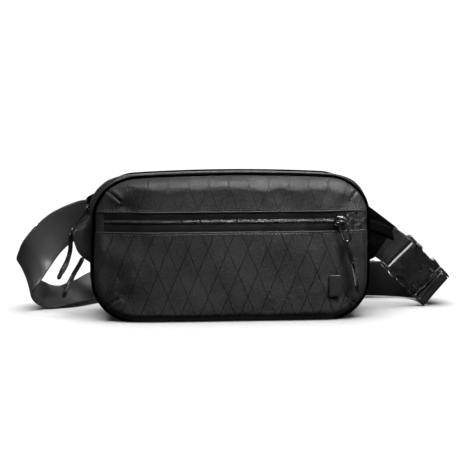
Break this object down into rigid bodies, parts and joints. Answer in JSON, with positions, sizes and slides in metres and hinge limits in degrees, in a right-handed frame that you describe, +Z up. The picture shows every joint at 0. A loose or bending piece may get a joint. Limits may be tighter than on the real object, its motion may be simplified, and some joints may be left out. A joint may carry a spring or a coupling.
{
  "type": "sling bag",
  "caption": "Rounded black sling bag with a zipped main compartment, a zipped front pocket with a cord pull, webbing strap and side-release buckle.",
  "frame": {"origin": "middle of the flat bottom of the body, on the surface it stands on", "axes": "+X along the body's width to the buckle side, +Y from the front pocket towards the back panel, +Z up"},
  "size_m": [0.4555, 0.1416, 0.1492],
  "materials": {
    "shell": "black laminated sailcloth with a fine plain weave and a raised diamond grid of yarns",
    "mesh": "black air mesh",
    "foam": "closed-cell foam",
    "lining": "grey plain-weave lining",
    "piping": "black woven binding over a cord",
    "zip_tape": "black coated zip tape, satin",
    "zip_coil": "black nylon coil",
    "thread": "black bonded thread",
    "webbing": "black smooth seat-belt webbing",
    "elastic": "black woven elastic",
    "buckle": "black acetal, fine satin",
    "badge": "black moulded rubber, matt",
    "slider": "black gloss lacquer on zinc",
    "cord": "black braided cord",
    "sleeve": "black shrink sleeve, satin"
  },
  "bodies": {
    "rear_half": {"back_panel": "mesh", "back_foam": "foam", "back_lining": "lining", "back_piping": "piping", "lower_gusset": "shell", "rear_gusset": "shell", "main_lining": "lining", "rear_zip_tape": "zip_tape", "rear_zip_coil": "zip_coil", "slip_pocket": "lining", "slip_pocket_binding": "piping", "left_hood": "shell", "left_wing": "shell", "right_wing": "shell", "right_tongue": "shell", "wing_bartacks": "thread", "strap": "webbing", "strap_tail": "webbing", "strap_keepers": "elastic", "short_webbing": "webbing", "buckle_female": "buckle"},
    "front_half": {"front_piping": "piping", "front_panel_lower": "shell", "front_panel_upper": "shell", "front_gusset": "shell", "front_zip_tape": "zip_tape", "front_zip_coil": "zip_coil", "pocket_divider": "lining", "pocket_tape_upper": "zip_tape", "pocket_tape_lower": "zip_tape", "pocket_coil": "zip_coil", "pocket_end_tabs": "shell", "badge": "badge"},
    "slider_p": {"pocket_slider": "slider"},
    "pull_p": {"pocket_pull_loop": "slider", "pocket_pull_cord": "cord", "pocket_pull_sleeve": "sleeve"},
    "slider_a": {"main_slider_a": "slider"},
    "pull_a": {"pull_loop_a": "slider", "pull_cord_a": "cord", "pull_sleeve_a": "sleeve"},
    "slider_b": {"main_slider_b": "slider"},
    "pull_b": {"pull_loop_b": "slider", "pull_cord_b": "cord", "pull_sleeve_b": "sleeve"},
    "male": {"buckle_male": "buckle", "strap_wrap": "webbing"},
    "arm_u": {"buckle_arm_upper": "buckle"},
    "arm_l": {"buckle_arm_lower": "buckle"}
  },
  "joints": [
    {"name": "main_open", "type": "hinge", "parent": "rear_half", "child": "front_half", "pos_m": [0, -0.0281, 0], "axis": [1, 0, 0], "range_deg": [0, 20]},
    {"name": "pocket_zip", "type": "slide", "parent": "front_half", "child": "slider_p", "axis": [-1, 0, 0], "range_m": [0, 0.222]},
    {"name": "pocket_pull_swing", "type": "hinge", "parent": "slider_p", "child": "pull_p", "pos_m": [0.1055, -0.047, 0.1025], "axis": [0, 1, 0], "range_deg": [-75, 100]},
    {"name": "main_zip_a", "type": "hinge", "parent": "rear_half", "child": "slider_a", "pos_m": [-0.092, 0, 0.101], "axis": [0, 1, 0], "range_deg": [0, 78]},
    {"name": "pull_a_swing", "type": "hinge", "parent": "slider_a", "child": "pull_a", "pos_m": [-0.148, 0, 0.1115], "axis": [1, 0, 0], "range_deg": [-50, 10]},
    {"name": "main_zip_b", "type": "slide", "parent": "rear_half", "child": "slider_b", "axis": [0, 0, 1], "range_m": [0, 0.012]},
    {"name": "pull_b_swing", "type": "hinge", "parent": "slider_b", "child": "pull_b", "pos_m": [-0.1468, 0, 0.071], "axis": [1, 0, 0], "range_deg": [-12, 12]},
    {"name": "buckle_release", "type": "slide", "parent": "rear_half", "child": "male", "axis": [0.7009, 0, -0.7133], "range_m": [0, 0.05], "deforming": ["buckle_arm_upper", "buckle_arm_lower"]},
    {"name": "arm_upper_squeeze", "type": "hinge", "parent": "male", "child": "arm_u", "pos_m": [0.21766, 0.026, 0.03546], "axis": [0, -1, 0], "range_deg": [0, 8], "stiffness_Nm_per_rad": 0.3},
    {"name": "arm_lower_squeeze", "type": "hinge", "parent": "male", "child": "arm_l", "pos_m": [0.20083, 0.026, 0.01892], "axis": [0, 1, 0], "range_deg": [0, 8], "stiffness_Nm_per_rad": 0.3}
  ],
  "couplings": [
    {"joint": "arm_lower_squeeze", "follows": "arm_upper_squeeze", "ratio": 1}
  ]
}
